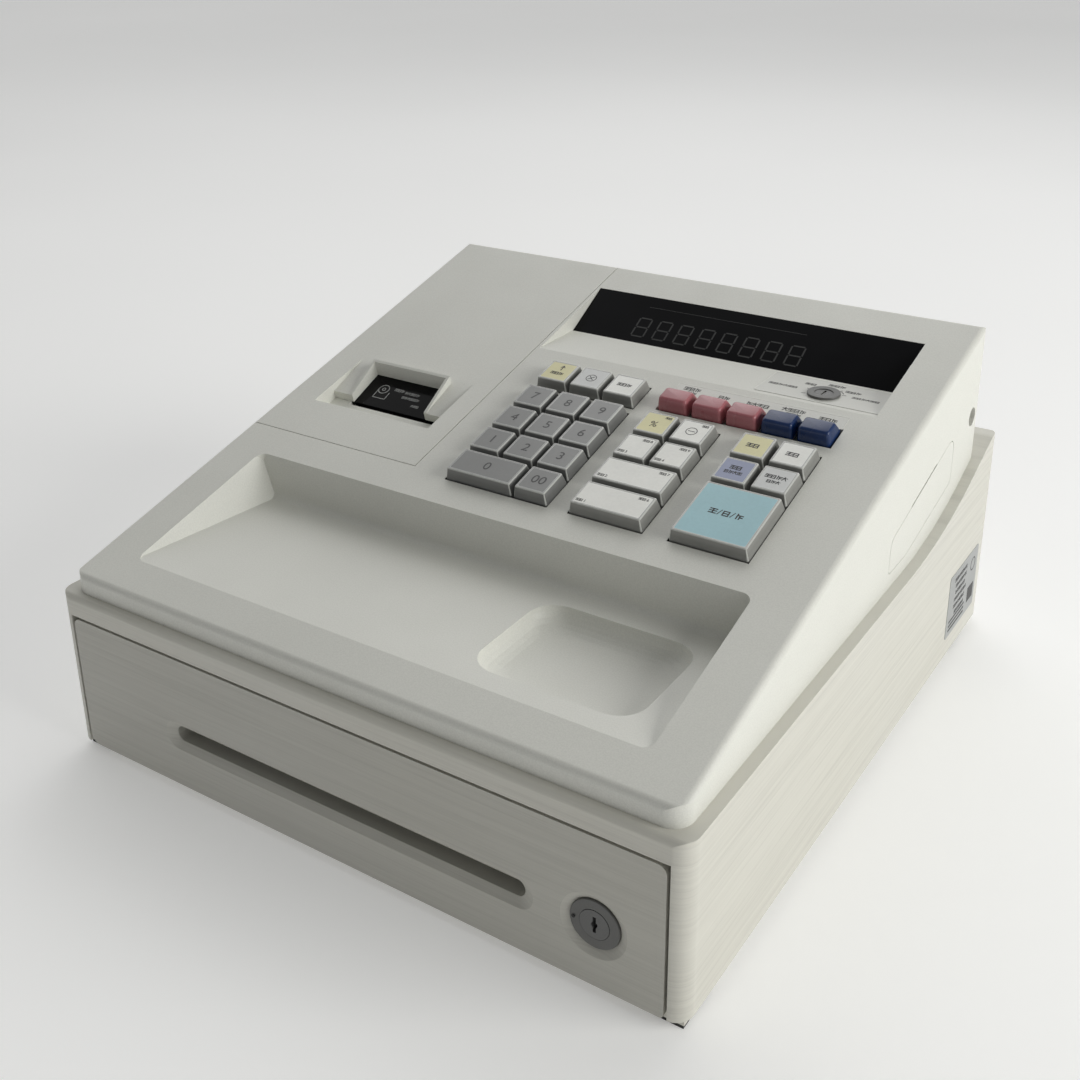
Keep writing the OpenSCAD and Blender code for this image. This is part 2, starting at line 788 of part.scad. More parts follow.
module button(button) {
    w = button_pitch - 2;
    depth_s = button_s[1] - button_s[0] - 1.4;
    top = key_top_h + 1.4;
    color(button[2]) on_deck() translate(button_centre(button)) {
        intersection() {
            rotate([90, 0, 90]) linear_extrude(w, center = true)
                polygon(rounded([[-depth_s / 2, -key_skirt, 0], [depth_s / 2, -key_skirt, 0],
                                 [depth_s / 2, 0, 1], [depth_s / 2 - 5.6, top, 1.5],
                                 [-depth_s / 2 + 1.2, top - 0.6, 1], [-depth_s / 2, 0, 0]]));
            rotate([90, 0, 0]) linear_extrude(depth_s + 2, center = true)
                polygon(rounded([[-w / 2, -key_skirt, 0], [w / 2, -key_skirt, 0], [w / 2, 0, 1],
                                 [w / 2 - 1.7, top, 1], [-w / 2 + 1.7, top, 1], [-w / 2, 0, 1]]));
        }
        key_stem();
    }
}

module button_stem_hole(button) {
    on_deck() translate(button_centre(button)) key_stem(0.4);
}

module key_mat() {
    color("gray") on_deck() {
        block([-36, 132], [122, 234], [mat_h - 2, mat_h - 0.9]);
        for (key = KEYS) translate(concat(key_centre(key), mat_h - 1)) cylinder(h = 0.9, d = 8);
        for (button = BUTTONS) translate(concat(button_centre(button), mat_h - 1)) cylinder(h = 0.9, d = 8);
    }
}

module key_board() {
    color("darkgreen") on_deck() {
        block([-38, 134], [120, 236], [mat_h - 3.7, mat_h - 2]);
        block([20, 60], [200, 212], [mat_h - 8, mat_h - 3.6]);
    }
}

module main_board() {
    color("darkgreen") difference() {
        union() {
            block([-5, 125], [-38, 48], [base_top + 6, base_top + 7.6]);
            block([30, 52], [-20, 2], [base_top + 7.5, base_top + 10]);
            block([70, 86], [5, 21], [base_top + 7.5, base_top + 10]);
            for (x = [0, 14]) translate([x + 98, 34, base_top + 7.5]) cylinder(h = 14, d = 10);
        }
        for (x = [5, 115], y = board_post_y) translate([x, y, base_top + 5]) cylinder(h = 4, d = 3);
    }
}

module transformer() {
    floor_z = foot_h + base_wall;
    color("slategray") {
        block([66, 118], [130, 170], [floor_z, floor_z + 44]);
        block([60, 124], [136, 164], [floor_z + 8, floor_z + 36]);
        block([56, 128], [140, 160], [floor_z, floor_z + 2]);
    }
}

// ---- Drawer ----

module drawer_front() {
    face_y = -half_d;
    left = -drawer_w / 2;
    face_t = 3.2;
    slot_r = 4;
    color("ivory") difference() {
        union() {
            translate([0, face_y + face_t, 0]) rotate([90, 0, 0]) linear_extrude(face_t)
                polygon(rounded([[left, foot_h, 5], [-left, foot_h, 2], [-left, foot_h + drawer_h, 4],
                                 [left, foot_h + drawer_h, 4]]));
            // Stiffening frame behind the face
            difference() {
                block([left + 2, -left - 2], [face_y + 3, tray_front], [foot_h + 3, foot_h + drawer_h - 3]);
                block([left + 5, -left - 5], [face_y + 3, tray_front + 1],
                      [foot_h + 5, foot_h + drawer_h - 5]);
            }
            // Box behind the cheque slot
            block(around(0, cheque_slot_w / 2 + 2), [face_y + 3, tray_front], around(slot_z, slot_r + 2));
            translate([lock_x, face_y + 3, lock_z]) rotate([-90, 0, 0])
                cylinder(h = tray_front - face_y - 3, d = 27);
        }
        // Flared surround of the cheque slot, then the slot
        hull() {
            front_stadium(cheque_slot_w + 14, slot_r + 5, -0.9);
            front_stadium(cheque_slot_w, slot_r, 2.4);
        }
        front_stadium(cheque_slot_w, slot_r, 30, 31);
        // Dished surround and bore of the lock
        translate([lock_x, face_y - 1, lock_z]) rotate([-90, 0, 0]) {
            cylinder(h = 3, d1 = lock_face_d + 11, d2 = lock_face_d + 0.2);
            cylinder(h = 3.4, d = lock_face_d + 0.2);
            cylinder(h = 30, d = 20.1);
        }
    }
}

// A bar with round ends that reaches a depth behind the drawer's face
module front_stadium(w, r, deep, length = 0.1) {
    translate([0, -half_d + deep, slot_z]) rotate([90, 0, 0]) linear_extrude(length)
        polygon(rounded_box([-w / 2, w / 2], [-r, r], r * 0.96));
}

module drawer_tray() {
    half = drawer_w / 2 - 4;
    top = coin_top + 2;
    color("gainsboro") difference() {
        union() {
            difference() {
                block([-half, half], [tray_front, tray_rear], [drawer_floor - 2, top]);
                block([-half + drawer_wall, half - drawer_wall], [tray_front + 2, tray_rear - drawer_wall],
                      [drawer_floor, top + 1]);
            }
            // Brackets that carry the rear roller axle
            for (side = [-1, 1]) block(around(side * rear_bracket_x, 1.5), around(rear_roller_y, 6),
                                       [rear_axle_z - 4, drawer_floor - 1]);
            // Striker for the catch
            block([-1.8, 1.8], [tray_rear - 1, tray_rear + 11.5], [26, 29]);
            translate([0, tray_rear + 10, 26]) cylinder(h = 12, d = 4);
        }
        for (side = [-1, 1]) translate([side * rear_bracket_x, rear_roller_y, rear_axle_z])
            rotate([0, 90, 0]) cylinder(h = 6, d = axle_d + 0.1, center = true);
        block(around(0, cheque_slot_w / 2), [tray_front - 1, tray_front + 3], around(slot_z, 4));
        translate([lock_x, tray_front - 1, lock_z]) rotate([-90, 0, 0]) cylinder(h = 4, d = 20.1);
    }
}

module coin_tray() {
    wall = 2;
    floor_z = drawer_floor + 0.1;
    cup_w = (2 * coin_half - 7 * wall) / 6;
    cup_d = bill_front - coin_front - 2 * wall;
    color("dimgray") difference() {
        block([-coin_half, coin_half], [coin_front, bill_rear], [floor_z, coin_top]);
        for (i = [0:5]) coin_cup(-coin_half + wall + i * (cup_w + wall), cup_w, cup_d, wall);
        for (i = [0:2]) translate([bill_centre(i) - bill_w / 2, bill_front + wall / 2, floor_z + wall])
            cube([bill_w, bill_rear - bill_front - wall * 1.5, coin_top]);
        // Bores of the clip pins
        for (i = [0:2]) translate([bill_centre(i), clip_y, clip_pin_z]) rotate([0, 90, 0])
            cylinder(h = bill_w + bill_wall + 0.2, d = 3.1, center = true);
    }
}

function bill_centre(i) = (i - 1) * (bill_w + bill_wall);

// Cup with a curved floor, so that coins slide out
module coin_cup(x, w, d, wall) {
    y = coin_front + wall;
    along_x(x, x + w)
        polygon(rounded([[y, coin_top + 5, 0], [y, drawer_floor + 2.5, 22], [y + d, drawer_floor + 2.5, 22],
                         [y + d, coin_top + 5, 0]]));
}

module bill_clip(i) {
    arm = 92;
    drop = 19;
    color("black") translate([bill_centre(i), clip_y, clip_pin_z]) {
        rotate([0, 90, 0]) cylinder(h = bill_w + 1.2, d = 3, center = true);
        rotate([drop, 0, 0]) {
            translate([-14, -arm, -1]) cube([28, arm, 2]);
            translate([-16, -arm, -5]) cube([32, 3, 6]);
        }
        rotate([0, 90, 0]) cylinder(h = 30, d = 7, center = true);
    }
}

module drawer_lock_barrel() {
    color("gray") translate([lock_x, -half_d, lock_z]) rotate([-90, 0, 0]) difference() {
        union() {
            translate([0, 0, 0.9]) cylinder(h = 1.5, d = lock_face_d);
            translate([0, 0, 1]) cylinder(h = 20, d = 20);
        }
        translate([0, 0, -1]) cylinder(h = 40, d = 13.1);
    }
}

module drawer_lock_plug() {
    color("silver") translate([lock_x, -half_d, lock_z]) rotate([-90, 0, 0]) {
        difference() {
            translate([0, 0, 0.8]) cylinder(h = 21.8, d = 13);
            translate([-0.7, -3.6, 0]) cube([1.4, 7.2, 10]);
            cylinder(h = 6, d = 2.8);
        }
        translate([-4, -4, 21.4]) cube([18, 8, 2]);
    }
}

module drawer_catch() {
    color("silver") translate([0, catch_y, foot_h + 25.3]) difference() {
        union() {
            cylinder(h = 4, d = 12);
            translate([0, 0, -8]) cylinder(h = 10, d = 4);
            rotate([0, 0, 27]) {
                translate([-2.5, -28, 0.3]) cube([5, 24, 3.4]);
                translate([-10, -30, 0.3]) cube([12, 4, 3.4]);
            }
        }
        translate([0, 0, 1]) cylinder(h = 4, d = 2.5);
    }
}

module roller_pair(x, reach) {
    rotate([0, 90, 0]) cylinder(h = 2 * reach, d = axle_d, center = true);
    for (side = [-1, 1]) translate([side * x, 0, 0]) rotate([0, 90, 0])
        cylinder(h = 7, r = roller_r, center = true);
}

module front_rollers() {
    color("white") translate([0, front_roller_y, front_axle_z]) roller_pair(bracket_x - 6, bracket_x + 1.5);
}

module rear_rollers() {
    color("white") translate([0, rear_roller_y, rear_axle_z])
        roller_pair(rear_bracket_x + 8, rear_bracket_x + 12.5);
}

base_casing();
upper_housing();
rubber_feet();
casing_screws();
drawer_front();
drawer_tray();
coin_tray();
drawer_lock_barrel();
drawer_lock_plug();
drawer_catch();
front_rollers();
rear_rollers();
roll_cover();
paper_window();
paper_roll();
printer_frame();
platen_roller();
display_window();
display_module();
customer_window();
mode_lock_barrel();
mode_lock_plug();
side_cover();
key_mat();
key_board();
main_board();
transformer();
for (i = [0:2]) bill_clip(i);
for (k = KEYS) key(k);
for (b = BUTTONS) button(b);
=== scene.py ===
import json
import math

import bpy
from mathutils import Matrix, Vector


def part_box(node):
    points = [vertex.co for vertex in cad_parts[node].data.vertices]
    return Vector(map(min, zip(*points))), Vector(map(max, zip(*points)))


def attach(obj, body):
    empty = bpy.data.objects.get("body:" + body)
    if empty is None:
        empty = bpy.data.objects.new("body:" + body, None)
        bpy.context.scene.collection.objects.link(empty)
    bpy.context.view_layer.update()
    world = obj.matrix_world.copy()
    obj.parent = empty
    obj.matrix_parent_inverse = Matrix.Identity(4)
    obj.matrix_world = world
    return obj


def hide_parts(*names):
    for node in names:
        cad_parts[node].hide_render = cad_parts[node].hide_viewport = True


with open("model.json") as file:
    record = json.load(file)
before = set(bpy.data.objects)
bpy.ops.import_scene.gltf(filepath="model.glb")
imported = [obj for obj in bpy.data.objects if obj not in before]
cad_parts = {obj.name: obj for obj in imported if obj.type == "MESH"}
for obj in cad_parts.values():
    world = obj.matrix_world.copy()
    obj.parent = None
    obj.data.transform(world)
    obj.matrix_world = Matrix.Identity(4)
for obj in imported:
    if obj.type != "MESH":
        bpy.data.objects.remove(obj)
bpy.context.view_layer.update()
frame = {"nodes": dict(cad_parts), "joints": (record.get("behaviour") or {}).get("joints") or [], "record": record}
nodes = frame["nodes"]

MM = 0.001

# ---- Frames that the details are placed in, in millimetres ----

HOUSING_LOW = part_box("upper_housing")[0] / MM
BASE_LOW, BASE_HIGH = (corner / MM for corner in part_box("base_casing"))
PRESS_AXIS = next(Vector(j["axis"]) for j in frame["joints"] if j["name"] == "key_total_press")
DECK_SLOPE = math.atan2(PRESS_AXIS.y, -PRESS_AXIS.z)
DECK_FRONT_Z = 96.3
RECESS_Z = 157.4
RECESS_DEPTH = 34.5
CREASE_S = 244
RECESS_TOP_S = 311
KEY_TOP = 6.0
KEY_SKIRT = 3.0
SCOOP_S = (174, 202)
RAMP_DEPTH = 4
PANE_DROP = 4.5


def tilted(x, y, z, slope):
    """A frame with its origin at a place in millimetres, whose Y rises towards the rear by slope."""
    place = Matrix.Translation(Vector((x, y, z)) * MM)
    return place @ Matrix.Rotation(slope, 4, "X") @ Matrix.Scale(MM, 4)


DECK = tilted(0, HOUSING_LOW.y, DECK_FRONT_Z, DECK_SLOPE)


def deck_yz(s):
    point = DECK @ Vector((0, s, 0))
    return point.y / MM, point.z / MM


glass_foot = (deck_yz(CREASE_S)[0] + RECESS_DEPTH, RECESS_Z)
glass_head = deck_yz(RECESS_TOP_S)
GLASS_SLOPE = math.atan2(glass_head[1] - glass_foot[1], glass_head[0] - glass_foot[0])
GLASS = tilted(0, *glass_foot, GLASS_SLOPE)
RECESS_FLOOR = tilted(0, 0, RECESS_Z, 0)
RAMP_SLOPE = math.atan2(RAMP_DEPTH, SCOOP_S[1] - SCOOP_S[0])
pane_foot = Matrix.Translation((0, SCOOP_S[0], -RAMP_DEPTH - PANE_DROP))
PANE = DECK @ pane_foot @ Matrix.Rotation(RAMP_SLOPE, 4, "X")
RIGHT_SIDE = Matrix.Translation((BASE_HIGH.x * MM, 0, 0)) @ Matrix(
    ((0, 0, 1, 0), (1, 0, 0, 0), (0, 1, 0, 0), (0, 0, 0, 1))) @ Matrix.Scale(MM, 4)
drawer_plane = Matrix.Translation((0, BASE_LOW.y * MM, 0))
DRAWER_FACE = drawer_plane @ Matrix.Rotation(math.pi / 2, 4, "X") @ Matrix.Scale(MM, 4)


# ---- Meshes ----

class Shape:
    """Vertices, faces and material numbers of one piece, in the millimetres of its own frame."""

    def __init__(self):
        self.verts = []
        self.faces = []
        self.slots = []

    def add(self, verts, faces, slot=0):
        start = len(self.verts)
        self.verts += [tuple(v) for v in verts]
        self.faces += [tuple(start + i for i in face) for face in faces]
        self.slots += [slot] * len(faces) if isinstance(slot, int) else list(slot)

    def prism(self, outline, low, high, slot=0):
        """An outline of (x, y) points made solid from low to high."""
        n = len(outline)
        verts = [(x, y, low) for x, y in outline] + [(x, y, high) for x, y in outline]
        sides = [(i, (i + 1) % n, n + (i + 1) % n, n + i) for i in range(n)]
        self.add(verts, [tuple(reversed(range(n))), tuple(range(n, 2 * n))] + sides, slot)

    def bar(self, x, y, low, high, slot=0):
        self.prism([(x[0], y[0]), (x[1], y[0]), (x[1], y[1]), (x[0], y[1])], low, high, slot)

    def stroke(self, a, b, width, low, high, slot=0):
        """A straight line of some width from a to b."""
        along = (Vector(b) - Vector(a)).normalized() * width / 2
        across = Vector((-along.y, along.x))
        a, b = Vector(a) - along, Vector(b) + along
        self.prism([a - across, b - across, b + across, a + across], low, high, slot)

    def ring(self, centre, outer, inner, low, high, slot=0, start=0, sweep=360, steps=32):
        """A flat ring, or an arc of one."""
        closed = sweep >= 360
        count = steps if closed else steps + 1
        verts = []
        for i in range(count):
            angle = math.radians(start + sweep * i / steps)
            way = Vector((math.cos(angle), math.sin(angle)))
            for radius, z in ((outer, low), (outer, high), (inner, high), (inner, low)):
                verts.append((centre[0] + way.x * radius, centre[1] + way.y * radius, z))
        faces = []
        for i in range(count if closed else count - 1):
            a, b = 4 * i, 4 * ((i + 1) % count)
            faces += [(a + k, b + k, b + (k + 1) % 4, a + (k + 1) % 4) for k in range(4)]
        if not closed:
            last = 4 * (count - 1)
            faces += [(0, 1, 2, 3), (last + 3, last + 2, last + 1, last)]
        self.add(verts, faces, slot)

    def make(self, name, place, materials, body, slot, smooth=False):
        mesh = bpy.data.meshes.new(name)
        mesh.from_pydata([place @ Vector(v) for v in self.verts], [], self.faces)
        for material in materials:
            mesh.materials.append(material)
        mesh.polygons.foreach_set("material_index", self.slots)
        mesh.polygons.foreach_set("use_smooth", [smooth] * len(self.faces))
        mesh.update()
        piece = bpy.data.objects.new(name, mesh)
        bpy.context.scene.collection.objects.link(piece)
        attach(piece, body)
        return piece


def rounded_rect(x, y, radius, steps=5):
    """Points round a rectangle with round corners, anticlockwise from its lower left."""
    points = []
    corners = (
        (x[0], y[0], 1, 1, 180), (x[1], y[0], -1, 1, 270), (x[1], y[1], -1, -1, 0), (x[0], y[1], 1, -1, 90),
    )
    for cx, cy, dx, dy, start in corners:
        for i in range(steps + 1):
            angle = math.radians(start + 90 * i / steps)
            points.append((cx + dx * radius + radius * math.cos(angle),
                           cy + dy * radius + radius * math.sin(angle)))
    return points


def add_text(shape, text, height, centre, low, high, slot=0):
    """Digits or a sign, centred on a place."""
    curve = bpy.data.curves.new("digits", "FONT")
    curve.body = text
    curve.size = 1
    curve.resolution_u = 4
    holder = bpy.data.objects.new("digits", curve)
    bpy.context.scene.collection.objects.link(holder)
    bpy.context.view_layer.update()
    flat = bpy.data.meshes.new_from_object(holder.evaluated_get(bpy.context.evaluated_depsgraph_get()))
    points = [v.co.copy() for v in flat.vertices]
    faces = [tuple(p.vertices) for p in flat.polygons]
    low_corner = Vector((min(p.x for p in points), min(p.y for p in points)))
    high_corner = Vector((max(p.x for p in points), max(p.y for p in points)))
    scale = height / (high_corner.y - low_corner.y)
    middle = (low_corner + high_corner) / 2
    placed = [((p.x - middle.x) * scale + centre[0], (p.y - middle.y) * scale + centre[1]) for p in points]
    n = len(placed)
    verts = [(x, y, low) for x, y in placed] + [(x, y, high) for x, y in placed]
    used = {}
    for face in faces:
        for a, b in zip(face, face[1:] + face[:1]):
            used[(a, b)] = True
    rims = [(a, b, n + b, n + a) for a, b in used if (b, a) not in used]
    solid = [tuple(n + i for i in face) for face in faces] + [tuple(reversed(face)) for face in faces] + rims
    shape.add(verts, solid, slot)
    bpy.data.objects.remove(holder)
    bpy.data.curves.remove(curve)
    bpy.data.meshes.remove(flat)


# Generic marks, drawn where the real object carries words: strokes in a unit square
MARKS = (
    (((0, 0.9), (1, 0.9)), ((0, 0.5), (1, 0.5)), ((0, 0.05), (1, 0.05)), ((0.5, 0.05), (0.5, 0.9))),
    (((0.1, 0), (0.1, 0.9)), ((0.9, 0), (0.9, 0.9)), ((0.1, 0.9), (0.9, 0.9)), ((0.1, 0.45), (0.9, 0.45)),
     ((0.1, 0), (0.9, 0))),
    (((0.2, 0), (0.2, 1)), ((0.2, 0.75), (1, 0.75)), ((0.6, 0), (0.6, 0.75)), ((0.6, 0.35), (1, 0.35))),
    (((0, 0.7), (1, 0.7)), ((0.5, 0.7), (0.1, 0)), ((0.5, 0.7), (0.9, 0)), ((0.5, 0.7), (0.5, 1))),
)


def add_marks(shape, count, size, centre, low, high, slot=0, first=0, weight=0.19):
    """A row of generic marks, centred on a place."""
    pitch = size * 1.15
    left = centre[0] - pitch * count / 2
    for i in range(count):
        corner = Vector((left + i * pitch, centre[1] - size / 2))
        for a, b in MARKS[(first + i) % len(MARKS)]:
            start, end = corner + Vector(a) * size, corner + Vector(b) * size
            shape.stroke(start, end, size * weight, low, high, slot)


# ---- Materials ----

class Look:
    """A material under construction: each call adds one shader node and returns its main output."""

    def __init__(self, name, roughness, specular=0.5, coat=0.0, coat_roughness=0.1):
        self.material = bpy.data.materials.new(name)
        self.material.use_nodes = True
        self.tree = self.material.node_tree
        self.shader = self.tree.nodes["Principled BSDF"]
        self.shader.inputs["Roughness"].default_value = roughness
        self.shader.inputs["Specular IOR Level"].default_value = specular
        self.shader.inputs["Coat Weight"].default_value = coat
        self.shader.inputs["Coat Roughness"].default_value = coat_roughness
        self.place = self.tree.nodes.new("ShaderNodeTexCoord").outputs["Object"]

    def link(self, value, socket):
        if isinstance(value, bpy.types.NodeSocket):
            self.tree.links.new(value, socket)
        else:
            socket.default_value = value

    def stretched(self, scale, turn=(0, 0, 0)):
        mapping = self.tree.nodes.new("ShaderNodeMapping")
        self.link(self.place, mapping.inputs["Vector"])
        mapping.inputs["Scale"].default_value = scale
        mapping.inputs["Rotation"].default_value = turn
        return mapping.outputs["Vector"]

    def noise(self, scale, detail=2.0, roughness=0.5, vector=None, distortion=0.0):
        texture = self.tree.nodes.new("ShaderNodeTexNoise")
        self.link(vector or self.place, texture.inputs["Vector"])
        texture.inputs["Scale"].default_value = scale
        texture.inputs["Detail"].default_value = detail
        texture.inputs["Roughness"].default_value = roughness
        texture.inputs["Distortion"].default_value = distortion
        return texture.outputs["Fac"]

    def ramp(self, value, stops):
        """Colours or greys by a value; stops are (position, colour)."""
        ramp = self.tree.nodes.new("ShaderNodeValToRGB")
        self.link(value, ramp.inputs["Fac"])
        elements = ramp.color_ramp.elements
        while len(elements) < len(stops):
            elements.new(0.5)
        for element, (position, colour) in zip(elements, stops):
            element.position = position
            element.color = (*colour, 1) if hasattr(colour, "__len__") else (colour, colour, colour, 1)
        return ramp.outputs["Color"]

    def mix(self, factor, a, b, how="MIX"):
        mix = self.tree.nodes.new("ShaderNodeMix")
        mix.data_type = "RGBA"
        mix.blend_type = how
        self.link(factor, mix.inputs["Factor"])
        for value, socket in ((a, mix.inputs["A"]), (b, mix.inputs["B"])):
            self.link((*value, 1) if isinstance(value, tuple) else value, socket)
        return mix.outputs["Result"]

    def height(self, low, high):
        """Height above the deck, from 0 at low to 1 at high, in millimetres."""
        origin = DECK @ Vector((0, 0, 0))
        normal = -PRESS_AXIS
        dot = self.tree.nodes.new("ShaderNodeVectorMath")
        dot.operation = "DOT_PRODUCT"
        self.link(self.place, dot.inputs[0])
        dot.inputs[1].default_value = normal
        scale = self.tree.nodes.new("ShaderNodeMapRange")
        self.link(dot.outputs["Value"], scale.inputs["Value"])
        base = origin.dot(normal)
        scale.inputs["From Min"].default_value = base + low * MM
        scale.inputs["From Max"].default_value = base + high * MM
        return scale.outputs["Result"]

    def bump(self, value, depth, strength=1.0, after=None):
        """Raises the surface by depth millimetres where value is 1."""
        bump = self.tree.nodes.new("ShaderNodeBump")
        self.link(value, bump.inputs["Height"])
        bump.inputs["Strength"].default_value = strength
        bump.inputs["Distance"].default_value = depth * MM
        if after is not None:
            self.link(after, bump.inputs["Normal"])
        return bump.outputs["Normal"]

    def finish(self, colour, normal=None, roughness=None):
        self.link(colour, self.shader.inputs["Base Color"])
        if normal is not None:
            self.link(normal, self.shader.inputs["Normal"])
        if roughness is not None:
            self.link(roughness, self.shader.inputs["Roughness"])
        return self.material


def shade(colour, factor):
    return tuple(min(1.0, c * factor) for c in colour)


def moulded(name, colour, roughness=0.5, grain=0.02, grain_scale=1600, spread=0.03, coat=0.0):
    """Moulded plastic: a fine spark-eroded grain, faint clouding and an uneven sheen."""
    look = Look(name, roughness, coat=coat)
    clouds = look.noise(9, detail=4)
    fine = look.noise(grain_scale, detail=2)
    tone = look.ramp(clouds, [(0.3, shade(colour, 1 - spread)), (0.7, shade(colour, 1 + spread))])
    speckle = look.ramp(fine, [(0.35, 0.93), (0.65, 1.0)])
    sheen = look.ramp(look.noise(40, detail=3), [(0.3, roughness - 0.05), (0.7, roughness + 0.06)])
    return look.finish(look.mix(1.0, tone, speckle, "MULTIPLY"), look.bump(fine, grain), sheen)


def wood_embossed(name, colour, roughness=0.5):
    """Plastic embossed with long horizontal wood-grain lines."""
    look = Look(name, roughness)
    drift = look.noise(7, detail=1, vector=look.stretched((1, 1, 1)))
    long_lines = look.noise(1, detail=5, roughness=0.62, vector=look.stretched((5.5, 5.5, 420)),
                            distortion=0.15)
    pores = look.noise(1, detail=2, roughness=0.6, vector=look.stretched((26, 26, 1500)))
    lines = look.mix(0.35, long_lines, pores)
    tone = look.ramp(lines, [(0.38, shade(colour, 0.93)), (0.5, colour), (0.62, shade(colour, 1.04))])
    warmth = look.ramp(drift, [(0.35, (1.0, 1.0, 1.0)), (0.65, (0.99, 0.985, 0.97))])
    relief = look.bump(lines, 0.22, 0.8)
    fine = look.bump(look.noise(1500, detail=2), 0.012, after=relief)
    sheen = look.ramp(lines, [(0.35, roughness + 0.1), (0.65, roughness - 0.04)])
    return look.finish(look.mix(1.0, tone, warmth, "MULTIPLY"), fine, sheen)


def rubber(name, colour):
    look = Look(name, 0.75, specular=0.3)
    fine = look.noise(900, detail=3)
    tone = look.ramp(fine, [(0.3, shade(colour, 0.8)), (0.7, shade(colour, 1.3))])
    return look.finish(tone, look.bump(fine, 0.03))


def metal(name, colour, roughness):
    look = Look(name, roughness)
    look.shader.inputs["Metallic"].default_value = 1.0
    brushed = look.noise(1, detail=4, vector=look.stretched((200, 2500, 200)))
    tone = look.ramp(brushed, [(0.3, shade(colour, 0.85)), (0.7, shade(colour, 1.1))])
    relief = look.bump(brushed, 0.01)
    return look.finish(tone, relief, look.ramp(brushed, [(0.3, roughness + 0.1), (0.7, roughness)]))


def smoked(name, colour):
    """Near-black glossy window with a faint unevenness in its gloss."""
    look = Look(name, 0.06, specular=0.09)
    haze = look.noise(18, detail=3)
    tone = look.ramp(haze, [(0.3, colour), (0.75, shade(colour, 2.2))])
    relief = look.bump(look.noise(35, detail=1), 0.01)
    return look.finish(tone, relief, look.ramp(haze, [(0.3, 0.05), (0.7, 0.13)]))


def circuit(name, colour):
    """Solder mask with paler tracks and tinned pads."""
    look = Look(name, 0.35)
    cells = look.tree.nodes.new("ShaderNodeTexBrick")
    look.link(look.place, cells.inputs["Vector"])
    cells.inputs["Scale"].default_value = 160
    cells.inputs["Color1"].default_value = (*shade(colour, 1.0), 1)
    cells.inputs["Color2"].default_value = (*shade(colour, 1.25), 1)
    cells.inputs["Mortar"].default_value = (*shade(colour, 1.7), 1)
    clouds = look.ramp(look.noise(60, detail=3), [(0.3, 0.8), (0.7, 1.0)])
    return look.finish(look.mix(1.0, cells.outputs["Color"], clouds, "MULTIPLY"), look.bump(clouds, 0.05))


def cap_side(name, colour):
    """The clear wall of a key cap, painted with light and shade by height: a painted highlight at the top edge,
    painted shade below it, and paler towards the skirt as painted light.
    """
    look = Look(name, 0.16, coat=0.6, coat_roughness=0.06)
    rise = look.height(-KEY_SKIRT, KEY_TOP)
    # Painted light by height: pale at the skirt, painted shade in the middle, a bright painted highlight at the
    # top edge
    tone = look.ramp(rise, [(0.1, shade(colour, 1.12)), (0.4, shade(colour, 0.9)),
                            (0.62, shade(colour, 0.82)),
                            (0.9, shade(colour, 1.0)), (0.97, shade(colour, 1.5))])
    streak = look.ramp(look.noise(140, detail=2), [(0.3, 0.92), (0.7, 1.0)])
    return look.finish(look.mix(1.0, tone, streak, "MULTIPLY"), look.bump(look.noise(220, detail=1), 0.015))


def insert_card(name, colour):
    """The printed card under a key's clear top."""
    look = Look(name, 0.3, coat=0.35, coat_roughness=0.18)
    fibres = look.noise(700, detail=3)
    clouds = look.noise(60, detail=2)
    tone = look.ramp(clouds, [(0.3, shade(colour, 0.96)), (0.7, shade(colour, 1.03))])
    fleck = look.ramp(fibres, [(0.3, 0.95), (0.7, 1.0)])
    return look.finish(look.mix(1.0, tone, fleck, "MULTIPLY"), look.bump(fibres, 0.006))


def ink(name, colour):
    look = Look(name, 0.45)
    wear = look.noise(500, detail=3)
    return look.finish(look.ramp(wear, [(0.3, colour), (0.75, shade(colour, 1.6))]), look.bump(wear, 0.004))


HOUSING = (0.78, 0.78, 0.725)
CASING = (0.66, 0.65, 0.595)

housing_plastic = moulded("housing_plastic", HOUSING)
base_plastic = wood_embossed("base_plastic", CASING)
# The drawer front uses the base's plastic darkened: painted shade on the front face
drawer_plastic = wood_embossed("drawer_plastic", shade(CASING, 0.8))
lock_face = moulded("lock_face", (0.125, 0.125, 0.12), roughness=0.36, grain=0.01, spread=0.08)
lock_core = moulded("lock_core", (0.13, 0.13, 0.128), roughness=0.3, grain=0.008, spread=0.08)
printed_black = ink("printed_black", (0.012, 0.012, 0.013))
printed_grey = ink("printed_grey", (0.045, 0.045, 0.045))
# Pale material on the rounded edges and corners of the key caps: a painted highlight
edge_highlight_paint = moulded("clear_edge_highlight", (0.62, 0.63, 0.60), roughness=0.14, grain=0.004, coat=0.6)
keyhole_black = moulded("keyhole_black", (0.006, 0.006, 0.006), roughness=0.6)

